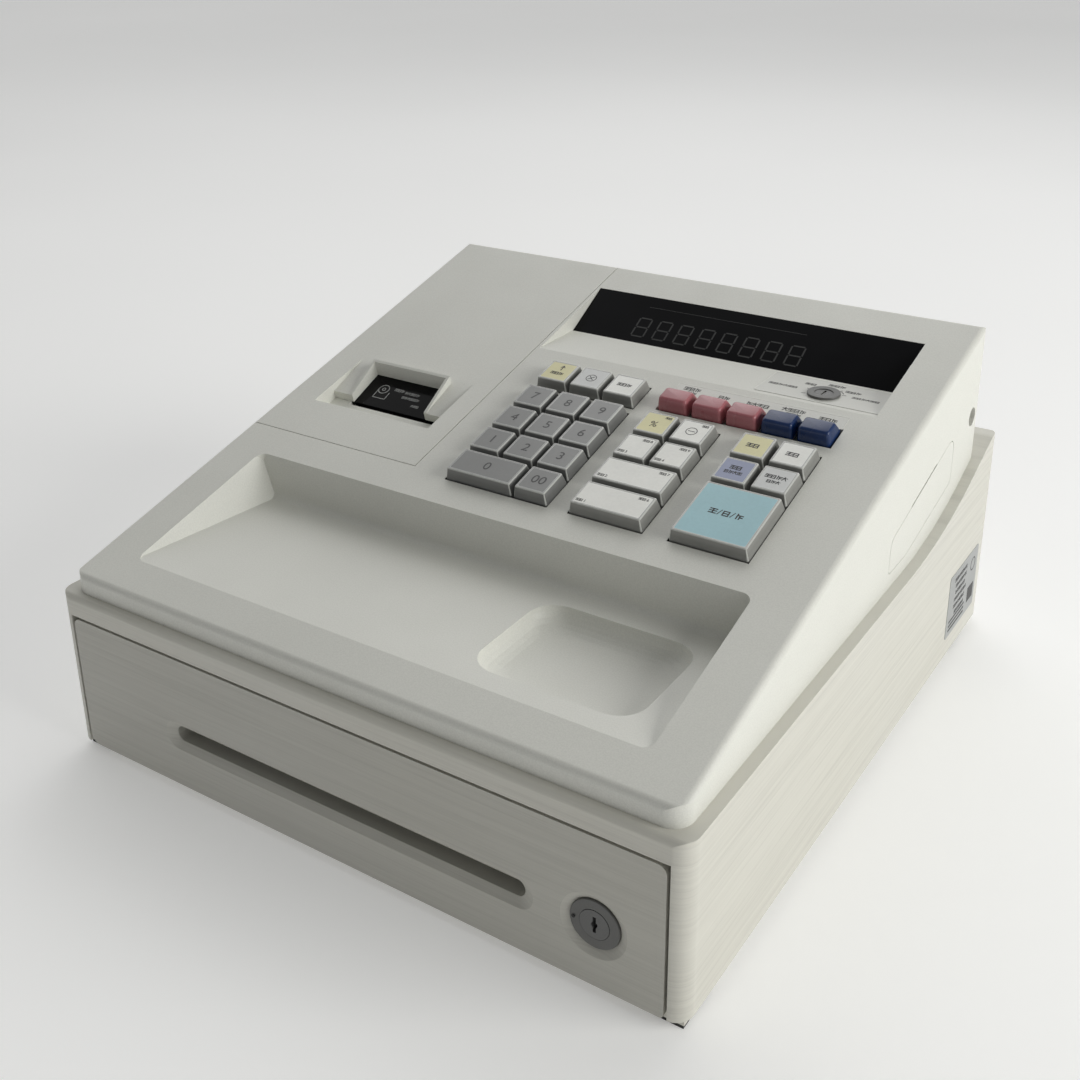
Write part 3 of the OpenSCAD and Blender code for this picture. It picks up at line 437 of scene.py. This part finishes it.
NODE_MATERIALS = {
    "base_casing": base_plastic,
    "drawer_front": drawer_plastic,
    "upper_housing": housing_plastic,
    "roll_cover": housing_plastic,
    "side_cover": housing_plastic,
    "rubber_feet": rubber("foot_rubber", (0.03, 0.03, 0.03)),
    "casing_screws": metal("screw_steel", (0.35, 0.35, 0.36), 0.35),
    "drawer_catch": metal("catch_steel", (0.62, 0.62, 0.63), 0.3),
    "drawer_tray": moulded("tray_plastic", (0.66, 0.65, 0.60)),
    "coin_tray": moulded("till_plastic", (0.055, 0.055, 0.06), roughness=0.45, grain=0.05, spread=0.12),
    "drawer_lock_barrel": lock_face,
    "drawer_lock_plug": lock_core,
    "mode_lock_barrel": lock_face,
    "mode_lock_plug": lock_core,
    "front_rollers": moulded("roller_nylon", (0.78, 0.78, 0.74), roughness=0.35),
    "rear_rollers": moulded("roller_nylon_rear", (0.78, 0.78, 0.74), roughness=0.35),
    "display_window": smoked("display_smoke", (0.0035, 0.0036, 0.0042)),
    "customer_window": smoked("customer_smoke", (0.0035, 0.0036, 0.0042)),
    "paper_window": smoked("pane_smoke", (0.003, 0.003, 0.0032)),
    "paper_roll": moulded("roll_paper", (0.86, 0.86, 0.83), roughness=0.7, grain=0.01, spread=0.02),
    "printer_frame": moulded("mechanism_plastic", (0.035, 0.035, 0.038), roughness=0.4, spread=0.15),
    "platen_roller": rubber("platen_rubber", (0.02, 0.02, 0.02)),
    "display_module": circuit("display_board", (0.02, 0.10, 0.04)),
    "key_board": circuit("key_board_mask", (0.02, 0.10, 0.04)),
    "main_board": circuit("main_board_mask", (0.02, 0.10, 0.04)),
    "key_mat": rubber("key_rubber", (0.40, 0.41, 0.40)),
    "transformer": metal("transformer_steel", (0.16, 0.16, 0.17), 0.5),
}
CLIP = moulded("clip_plastic", (0.02, 0.02, 0.021), roughness=0.32, spread=0.15)
PINK = moulded("pink_button", (0.46, 0.155, 0.175), roughness=0.25, grain=0.008, spread=0.05, coat=0.3)
BLUE = moulded("blue_button", (0.008, 0.032, 0.125), roughness=0.28, grain=0.008, spread=0.05, coat=0.12)
for name in nodes:
    if name.startswith("bill_clip"):
        NODE_MATERIALS[name] = CLIP
    elif name.startswith("button_pink"):
        NODE_MATERIALS[name] = PINK
    elif name.startswith("button_blue"):
        NODE_MATERIALS[name] = BLUE


# ---- CAD nodes: materials and softened edges ----

# Width of the rounding on each node's edges, in millimetres
SOFT_EDGES = {
    "base_casing": 1.2, "drawer_front": 1.0, "upper_housing": 0.8, "roll_cover": 0.5, "side_cover": 0.35,
    "coin_tray": 0.5, "drawer_tray": 0.5, "drawer_lock_barrel": 0.35, "mode_lock_barrel": 0.3,
    "drawer_lock_plug": 0.25, "mode_lock_plug": 0.2, "rubber_feet": 0.4, "paper_roll": 0.3,
    "printer_frame": 0.3, "drawer_catch": 0.3,
}


def soften(name, width):
    """Rounds a node's edges with modifiers, which leave its mesh as it is."""
    node = nodes[name]
    weld = node.modifiers.new("weld", "WELD")
    weld.merge_threshold = 0.005 * MM
    bevel = node.modifiers.new("bevel", "BEVEL")
    bevel.width = width * MM
    bevel.segments = 3
    bevel.limit_method = "ANGLE"
    bevel.angle_limit = math.radians(13)
    bevel.miter_outer = "MITER_ARC"
    normals = node.modifiers.new("normals", "WEIGHTED_NORMAL")
    normals.keep_sharp = True
    node.data.polygons.foreach_set("use_smooth", [True] * len(node.data.polygons))


for name, material in NODE_MATERIALS.items():
    nodes[name].data.materials.clear()
    nodes[name].data.materials.append(material)
for name, width in SOFT_EDGES.items():
    soften(name, width)
for name in nodes:
    if name.startswith("bill_clip"):
        soften(name, 0.7)


# ---- Keys ----

GREY_CARD = insert_card("number_card", (0.20, 0.203, 0.198))
WHITE_CARD = insert_card("white_card", (0.86, 0.86, 0.81))
PALE_CARD = insert_card("pale_card", (0.60, 0.61, 0.60))
YELLOW_CARD = insert_card("yellow_card", (0.70, 0.655, 0.33))
LAVENDER_CARD = insert_card("lavender_card", (0.215, 0.25, 0.40))
CYAN_CARD = insert_card("cyan_card", (0.29, 0.54, 0.60))
GREY_SIDE = cap_side("number_cap", (0.22, 0.222, 0.218))
CLEAR_SIDE = cap_side("clear_cap", (0.30, 0.30, 0.285))

CARDS = {
    "number_key": (GREY_CARD, GREY_SIDE),
    "white_key": (WHITE_CARD, CLEAR_SIDE),
    "grey_key": (PALE_CARD, CLEAR_SIDE),
    "yellow_key": (YELLOW_CARD, CLEAR_SIDE),
    "lavender_key": (LAVENDER_CARD, CLEAR_SIDE),
    "cyan_key": (CYAN_CARD, CLEAR_SIDE),
}
TAPER = 1.1
EDGE = 0.5
CORNER_STEPS = 4
SIDE, HIGHLIGHT_RIM, CARD, INK = range(4)


def key_place(name):
    """Middle of a key on the deck, and its width and depth, worked out from its CAD solid."""
    to_deck = DECK.inverted()
    points = [to_deck @ v.co for v in nodes[name].data.vertices]
    x = (min(p.x for p in points), max(p.x for p in points))
    s = (min(p.y for p in points), max(p.y for p in points))
    return ((x[0] + x[1]) / 2, (s[0] + s[1]) / 2), x[1] - x[0], s[1] - s[0]


def cap(width, depth):
    """A tapered clear cap with rounded edges; its top shows the card inside a clear border. The rounded top edge,
    the wall's rounded corners and the inner border ring take a pale material as painted highlight.
    """
    shape = Shape()
    bend = [(TAPER + EDGE * (1 - math.cos(a)), KEY_TOP - EDGE + EDGE * math.sin(a))
            for a in (math.radians(d) for d in (0, 30, 60, 90))]
    profile = [(0.12, -KEY_SKIRT), (0, -KEY_SKIRT + 0.12), (0, 0)] + bend
    profile += [(TAPER + 0.85, KEY_TOP), (TAPER + 0.95, KEY_TOP - 0.09), (TAPER + 1.15, KEY_TOP - 0.09)]
    materials = [SIDE, SIDE, SIDE, HIGHLIGHT_RIM, HIGHLIGHT_RIM, HIGHLIGHT_RIM, SIDE, SIDE, HIGHLIGHT_RIM]
    loops = []
    for inset, height in profile:
        half = (width / 2 - inset, depth / 2 - inset)
        outline = rounded_rect((-half[0], half[0]), (-half[1], half[1]), 1.1 - min(inset, 0.5), CORNER_STEPS)
        loops.append([(x, y, height) for x, y in outline])
    n = len(loops[0])
    verts = [v for loop in loops for v in loop]
    faces = []
    slots = []
    for k, material in enumerate(materials):
        for i in range(n):
            j = (i + 1) % n
            faces.append((k * n + i, k * n + j, (k + 1) * n + j, (k + 1) * n + i))
            # Faces on the wall's rounded corners take the pale material as a painted highlight
            on_corner = i % (CORNER_STEPS + 1) in (1, 2)
            slots.append(HIGHLIGHT_RIM if material == SIDE and on_corner and 1 < k < 4 else material)
    faces.append(tuple(reversed(range(n))))
    slots.append(SIDE)
    faces.append(tuple(range(len(verts) - n, len(verts))))
    slots.append(CARD)
    shape.add(verts, faces, slots)
    return shape


INK_LOW = KEY_TOP - 0.08
INK_HIGH = KEY_TOP - 0.03


def sign_multiply(shape):
    shape.ring((0, 0), 2.9, 2.55, INK_LOW, INK_HIGH, INK)
    for way in (1, -1):
        shape.stroke((-1.3, -1.3 * way), (1.3, 1.3 * way), 0.4, INK_LOW, INK_HIGH, INK)


def sign_minus(shape):
    shape.ring((-0.3, 0), 2.9, 2.55, INK_LOW, INK_HIGH, INK)
    shape.stroke((-1.9, 0), (1.3, 0), 0.4, INK_LOW, INK_HIGH, INK)
    add_marks(shape, 2, 1.5, (4.6, 5.6), INK_LOW, INK_HIGH, INK)


def sign_feed(shape):
    shape.stroke((0.4, 1.2), (0.4, 5), 0.5, INK_LOW, INK_HIGH, INK)
    for side in (-1, 1):
        shape.stroke((0.4, 5), (0.4 + side * 1.1, 3.6), 0.45, INK_LOW, INK_HIGH, INK)
    add_marks(shape, 3, 2.1, (0, -1.8), INK_LOW, INK_HIGH, INK)


def sign_percent(shape):
    add_text(shape, "%", 4.2, (-0.6, -0.8), INK_LOW, INK_HIGH, INK)
    add_marks(shape, 2, 1.5, (4.6, 5.6), INK_LOW, INK_HIGH, INK)


def words(*rows):
    """Rows of generic marks: how many, their size, and the height of the row's middle."""
    def draw(shape):
        for number, (count, size, y) in enumerate(rows):
            add_marks(shape, count, size, (0, y), INK_LOW, INK_HIGH, INK, first=number)
    return draw


def corner_marks(low_digit, high_digit, half_width):
    """Small marks in the lower left and upper right, as on a key that serves two departments."""
    def draw(shape):
        for side, digit, y in ((-1, low_digit, -5.4), (1, high_digit, 5.4)):
            x = side * (half_width - 3.6)
            add_marks(shape, 2, 1.6, (x - 1.1, y), INK_LOW, INK_HIGH, INK, weight=0.16)
            add_text(shape, digit, 1.7, (x + 1.6, y), INK_LOW, INK_HIGH, INK)
    return draw


def total_marks(shape):
    for i, x in enumerate((-6.2, 0, 6.2)):
        add_marks(shape, 1, 3.2, (x + 0.2, 0), INK_LOW, INK_HIGH, INK, first=i)
    for x in (-3.1, 3.1):
        shape.stroke((x - 0.6, -1.6), (x + 0.6, 1.6), 0.4, INK_LOW, INK_HIGH, INK)


def digits(text, height=5.5):
    return lambda shape: add_text(shape, text, height, (0.2, 0.2), INK_LOW, INK_HIGH, INK)


LEGENDS = {
    "key_feed": sign_feed, "key_multiply": sign_multiply, "key_clear": words((3, 2.3, 0.3)),
    "key_00": digits("00"), "key_percent": sign_percent, "key_minus": sign_minus,
    "key_department_1": corner_marks("1", "6", 17), "key_department_2": corner_marks("2", "7", 17),
    "key_department_3": corner_marks("3", "8", 7.6), "key_department_4": corner_marks("4", "9", 7.6),
    "key_total": total_marks, "key_shift": words((2, 2.5, 1.7), (4, 1.9, -1.9)),
    "key_subtotal": words((4, 2.3, 1.7), (3, 1.9, -1.9)), "key_charge": words((2, 2.7, 0)),
    "key_check": words((2, 2.7, 0)),
}
LEGENDS.update({f"key_{n}": digits(str(n)) for n in range(10)})

key_slots = {s["node"]: s["material_slot"] for s in frame["record"]["subparts"]}
for name, draw in LEGENDS.items():
    centre, width, depth = key_place(name)
    shape = cap(width, depth)
    draw(shape)
    card, side = CARDS[key_slots[name]]
    text = printed_grey if key_slots[name] == "number_key" else printed_black
    piece = shape.make("cap_" + name, DECK @ Matrix.Translation((*centre, 0)),
                       [side, edge_highlight_paint, card, text], name, key_slots[name])
    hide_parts(name)


# ---- Buttons under the display ----

# Inset at the front, inset at the rear and height of each level of a button's cap
BUTTON_LEVELS = (
    (0.0, 0.0, -2.0), (0.0, 0.0, 0.3), (0.35, 1.6, 3.0), (0.8, 3.0, 5.4), (1.1, 3.6, 6.2),
    (1.6, 4.1, 6.75), (2.3, 4.7, 6.95),
)
BUTTON_SIDE_LEAN = 0.35
BUTTON_CORNER = 1.7


def button(name, slot):
    """A rounded cap with a steep front, a narrow top and a rear that slopes away."""
    centre, width, depth = key_place(name)
    loops = []
    for front, rear, height in BUTTON_LEVELS:
        side = BUTTON_SIDE_LEAN * front * 2
        x = (side - width / 2, width / 2 - side)
        y = (front - depth / 2, depth / 2 - rear)
        loops.append([(u, v, height) for u, v in rounded_rect(x, y, BUTTON_CORNER - front * 0.2, 6)])
    n = len(loops[0])
    faces = [(k * n + i, k * n + (i + 1) % n, (k + 1) * n + (i + 1) % n, (k + 1) * n + i)
             for k in range(len(loops) - 1) for i in range(n)]
    faces += [tuple(reversed(range(n))), tuple(range((len(loops) - 1) * n, len(loops) * n))]
    shape = Shape()
    shape.add([v for loop in loops for v in loop], faces)
    piece = shape.make("cap_" + name, DECK @ Matrix.Translation((*centre, 0)), [NODE_MATERIALS[name]],
                       name, slot, smooth=True)
    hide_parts(name)


for name in nodes:
    if name.startswith("button"):
        button(name, key_slots[name])


# ---- Dark walls in the gaps round the keys: painted shade ----

LINER_LOW = -3.0
LINER_HIGH = -0.4
LINER_THICKNESS = 0.3


def liner(shape, x, s):
    """Four thin near-black walls that stand just inside an opening in the deck, as painted shade in the gap."""
    t = LINER_THICKNESS
    shape.bar(x, (s[0], s[0] + t), LINER_LOW, LINER_HIGH)
    shape.bar(x, (s[1] - t, s[1]), LINER_LOW, LINER_HIGH)
    shape.bar((x[0], x[0] + t), (s[0] + t, s[1] - t), LINER_LOW, LINER_HIGH)
    shape.bar((x[1] - t, x[1]), (s[0] + t, s[1] - t), LINER_LOW, LINER_HIGH)


# Spacing of the keys, and the left and front edges of their blocks, as the CAD part has them
KEY_PITCH_X = 19.6
KEY_PITCH_S = 19.75
NUMBERS_X, DEPARTMENTS_X, TOTALS_X = -32.2, 37.4, 88.6
BLOCKS_S = 127.2
TOP_ROW_S = 210.2


def well(left, columns, front, rows):
    """Ends across and along the deck of the opening round a block of keys."""
    return (left, left + columns * KEY_PITCH_X), (front - 0.4, front + rows * KEY_PITCH_S + 0.1)


wells = (
    well(NUMBERS_X, 3, BLOCKS_S, 4), well(DEPARTMENTS_X, 2, BLOCKS_S, 4),
    well(TOTALS_X, 2, BLOCKS_S, 4), well(NUMBERS_X, 3, TOP_ROW_S, 1),
)
# Near-black walls that stand in for the shade in the gaps round the keys (painted shade)
gap_shade_walls = Shape()
for place in wells:
    liner(gap_shade_walls, *place)
gap_shade_walls.make("gap_shade_linings", DECK, [moulded("gap_shade_black", (0.012, 0.012, 0.012), roughness=0.7)],
             "register_body", "housing_plastic")


# ---- Printed plates ----

label_plate = moulded("label_plate", shade(HOUSING, 0.86), roughness=0.32, grain=0.006, coat=0.2)
label_edge = moulded("label_edge", shade(HOUSING, 1.08), roughness=0.3, grain=0.004)


BORDER = 0.35


def plate(shape, x, y, thickness=0.15):
    """A thin label with a paler border line. Material 0 is its face and 1 its border."""
    shape.prism(rounded_rect(x, y, 1.0), 0, thickness, 0)
    low, high = thickness - 0.05, thickness + 0.05
    for band in ((y[0], y[0] + BORDER), (y[1] - BORDER, y[1])):
        shape.bar((x[0] + 1, x[1] - 1), band, low, high, 1)
    for band in ((x[0], x[0] + BORDER), (x[1] - BORDER, x[1])):
        shape.bar(band, (y[0] + 1, y[1] - 1), low, high, 1)


def button_label():
    shape = Shape()
    x, s = (37.9, 128.5), (229.0, 239.0)
    plate(shape, x, s)
    rows = ((3, 2), (2, 0), (4, 0), (4, 3), (3, 0))
    pitch = (x[1] - x[0]) / 5
    for i, (count, below) in enumerate(rows):
        middle = x[0] + (i + 0.5) * pitch
        add_marks(shape, count, 2.6, (middle, s[0] + (6.6 if below else 5)), 0.12, 0.19, 2, first=i)
        if below:
            add_marks(shape, below, 2.2, (middle + 1, s[0] + 3.2), 0.12, 0.19, 2, first=i + 1)
    shape.make("button_label", DECK, [label_plate, label_edge, printed_black], "register_body",
               "housing_plastic")


def mode_label():
    shape = Shape()
    plate(shape, (74.5, 138.7), (65.3, 94.4))
    lock = (107, 76.6)
    for angle in (20, 55, 90, 125, 160, 200):
        way = Vector((math.cos(math.radians(angle)), math.sin(math.radians(angle))))
        start = Vector(lock) + way * 9.0
        shape.stroke(start, start + way * 1.6, 0.45, 0.12, 0.19, 2)
    for start in (30, 65, 100, 135):
        shape.ring(lock, 9.9, 9.5, 0.12, 0.19, 2, start=start, sweep=20, steps=5)
    for count, size, centre in ((6, 2.2, (85, 78.5)), (2, 2.5, (96.6, 86.4)), (3, 2.5, (109, 90)),
                                (3, 2.3, (119, 85.6)), (6, 2.0, (127.5, 79.6))):
        add_marks(shape, count, size, centre, 0.12, 0.19, 2)
    shape.make("mode_label", RECESS_FLOOR, [label_plate, label_edge, printed_black], "register_body",
               "housing_plastic")


def rating_plate():
    """A silvered plate at the right rear with rows of generic marks."""
    shape = Shape()
    y, z = (117, 165), (16, 53)
    shape.prism(rounded_rect(y, z, 1.5), -0.05, 0.2, 0)
    for row in range(6):
        add_marks(shape, 9 - row % 3, 2.0, (136 + row % 2, z[1] - 5 - row * 4.1), 0.15, 0.25, 2, first=row)
    shape.bar((152, 162), (22, 31), 0.15, 0.25, 2)
    shape.ring((157, 44), 4, 3.3, 0.15, 0.25, 2)
    for row in range(3):
        shape.bar((121, 147), (19 + row * 2.6, 20.2 + row * 2.6), 0.15, 0.25, 2)
    silver = moulded("rating_silver", (0.36, 0.37, 0.37), roughness=0.35, grain=0.01, spread=0.1)
    shape.make("rating_plate", RIGHT_SIDE, [silver, label_edge, printed_black], "register_body",
               "base_plastic")


button_label()
mode_label()
rating_plate()


# ---- Display ----

# Ends of the seven segments in a cell one wide and two high
SEGMENTS = (((0, 0), (1, 0)), ((0, 1), (1, 1)), ((0, 2), (1, 2)),
            ((0, 0), (0, 1)), ((0, 1), (0, 2)), ((1, 0), (1, 1)), ((1, 1), (1, 2)))


def ghost_digits():
    """Unlit digits that show faintly through the smoked window."""
    ghost = ink("ghost_segments", (0.0058, 0.0064, 0.006))
    shape = Shape()
    digit_w, digit_h, pitch, first_x, low_s = 7.4, 13.6, 12.9, -15.5, 4.6
    for i in range(8):
        for a, b in SEGMENTS:
            ends = [Vector((first_x + i * pitch + u * digit_w, low_s + v * digit_h / 2)) for u, v in (a, b)]
            gap = (ends[1] - ends[0]).normalized() * 0.9
            shape.stroke(ends[0] + gap, ends[1] - gap, 0.9, -0.02, 0.03)
    shape.stroke((-14, 27), (79, 27), 0.3, -0.02, 0.03)
    shape.make("ghost_digits", GLASS, [ghost], "register_body", "window_smoke")


def pane_pictogram():
    """A small generic picture of a paper roll on the printer's pane."""
    shape = Shape()
    low, high = -0.02, 0.05
    x, s = -118, 11
    shape.ring((x, s + 3), 3.4, 2.9, low, high)
    shape.ring((x, s + 3), 1.2, 0.7, low, high)
    shape.stroke((x - 3.2, s + 3), (x - 3.2, s - 4), 0.45, low, high)
    shape.stroke((x - 3.2, s - 4), (x + 5, s - 4), 0.45, low, high)
    shape.stroke((x + 5, s - 4), (x + 5, s + 1), 0.45, low, high)
    add_marks(shape, 3, 1.9, (x + 10, s + 4.6), low, high)
    add_marks(shape, 6, 1.7, (x + 20, s + 0.5), low, high, first=1)
    add_marks(shape, 5, 1.7, (x + 19, s + 4), low, high, first=2)
    add_marks(shape, 3, 1.5, (x + 26, s - 4), low, high, first=3)
    shape.make("pane_pictogram", PANE, [ink("pane_print", (0.34, 0.345, 0.34))], "roll_cover", "window_smoke")


ghost_digits()
pane_pictogram()


# ---- Lock marks ----

def lock_mark():
    """The dot beside the drawer's keyhole."""
    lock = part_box("drawer_lock_barrel")
    centre = (lock[0] + lock[1]) / 2 / MM
    beside, radius, steps = 9.2, 0.8, 16
    shape = Shape()
    shape.prism([(centre.x - beside + radius * math.cos(a), centre.z + radius * math.sin(a))
                 for a in (math.tau * i / steps for i in range(steps))], -0.65, -0.55)
    shape.make("lock_dot", DRAWER_FACE, [keyhole_black], "drawer", "lock_grey")


lock_mark()


# ---- Floor, light and camera ----

def floor():
    shape = Shape()
    shape.add([(-6000, -6000, 0), (6000, -6000, 0), (6000, 6000, 0), (-6000, 6000, 0)], [(0, 1, 2, 3)])
    mesh = bpy.data.meshes.new("floor")
    mesh.from_pydata([Vector(v) * MM for v in shape.verts], [], shape.faces)
    look = Look("floor_paint", 0.9, specular=0.1)
    clouds = look.noise(1.5, detail=2)
    paint = look.ramp(clouds, [(0.3, (0.86, 0.86, 0.855)), (0.7, (0.885, 0.885, 0.88))])
    look.link(paint, look.shader.inputs["Emission Color"])
    look.shader.inputs["Emission Strength"].default_value = 0.26
    mesh.materials.append(look.finish(paint))
    plane = bpy.data.objects.new("floor", mesh)
    bpy.context.scene.collection.objects.link(plane)


def soft_light(name, place, size, power, colour=(1, 1, 1)):
    """A square soft box aimed at the object."""
    light = bpy.data.lights.new(name, "AREA")
    light.shape = "RECTANGLE"
    light.size, light.size_y = size
    light.energy = power
    light.color = colour
    holder = bpy.data.objects.new(name, light)
    bpy.context.scene.collection.objects.link(holder)
    holder.location = place
    holder.rotation_euler = (Vector((0, 0, 0.1)) - Vector(place)).to_track_quat("-Z", "Y").to_euler()


def room(dim, pale, far_side):
    """A dim room with one pale wall, on the far side of the object."""
    world = bpy.data.worlds.new("studio")
    bpy.context.scene.world = world
    world.use_nodes = True
    tree = world.node_tree
    facing = tree.nodes.new("ShaderNodeVectorMath")
    facing.operation = "DOT_PRODUCT"
    tree.links.new(tree.nodes.new("ShaderNodeTexCoord").outputs["Generated"], facing.inputs[0])
    facing.inputs[1].default_value = Vector(far_side).normalized()
    wall = tree.nodes.new("ShaderNodeMapRange")
    wall.interpolation_type = "SMOOTHSTEP"
    wall.inputs["From Min"].default_value = 0.3
    wall.inputs["From Max"].default_value = 0.75
    tree.links.new(facing.outputs["Value"], wall.inputs["Value"])
    paint = tree.nodes.new("ShaderNodeMix")
    paint.data_type = "RGBA"
    tree.links.new(wall.outputs["Result"], paint.inputs["Factor"])
    paint.inputs["A"].default_value = (*dim, 1)
    paint.inputs["B"].default_value = (*pale, 1)
    tree.links.new(paint.outputs["Result"], tree.nodes["Background"].inputs["Color"])


CAMERA_PLACE = (0.3347, -0.5251, 0.4065)
CAMERA_TURN = (34.76, 21.70, -1.26)
CAMERA_LENS = 45.49
CAMERA_SHIFT = (0.0306, -0.1295)


def camera():
    """A camera at CAMERA_PLACE in metres, turned by yaw, pitch and roll in degrees."""
    yaw, pitch, roll = (math.radians(a) for a in CAMERA_TURN)
    forward = Vector((-math.sin(yaw) * math.cos(pitch), math.cos(yaw) * math.cos(pitch), -math.sin(pitch)))
    level = Vector((math.cos(yaw), math.sin(yaw), 0))
    upright = level.cross(forward)
    right = level * math.cos(roll) + upright * math.sin(roll)
    up = upright * math.cos(roll) - level * math.sin(roll)
    lens = bpy.data.cameras.new("camera")
    lens.sensor_width = 36
    lens.lens = CAMERA_LENS
    lens.shift_x, lens.shift_y = CAMERA_SHIFT
    lens.clip_start = 0.01
    holder = bpy.data.objects.new("camera", lens)
    bpy.context.scene.collection.objects.link(holder)
    axes = Matrix((right, up, -forward)).transposed().to_4x4()
    holder.matrix_world = Matrix.Translation(CAMERA_PLACE) @ axes
    bpy.context.scene.camera = holder


floor()
room((0.185, 0.187, 0.185), (1.0, 1.0, 0.995), (-0.57, 0.82, 0.1))
soft_light("window_right", (1.85, 0.2, 0.86), (1.3, 1.0), 23, (1.0, 1.0, 0.97))
soft_light("overhead", (-0.4, 1.3, 1.5), (1.4, 1.2), 5)
camera()
bpy.context.scene.view_settings.view_transform = "Standard"
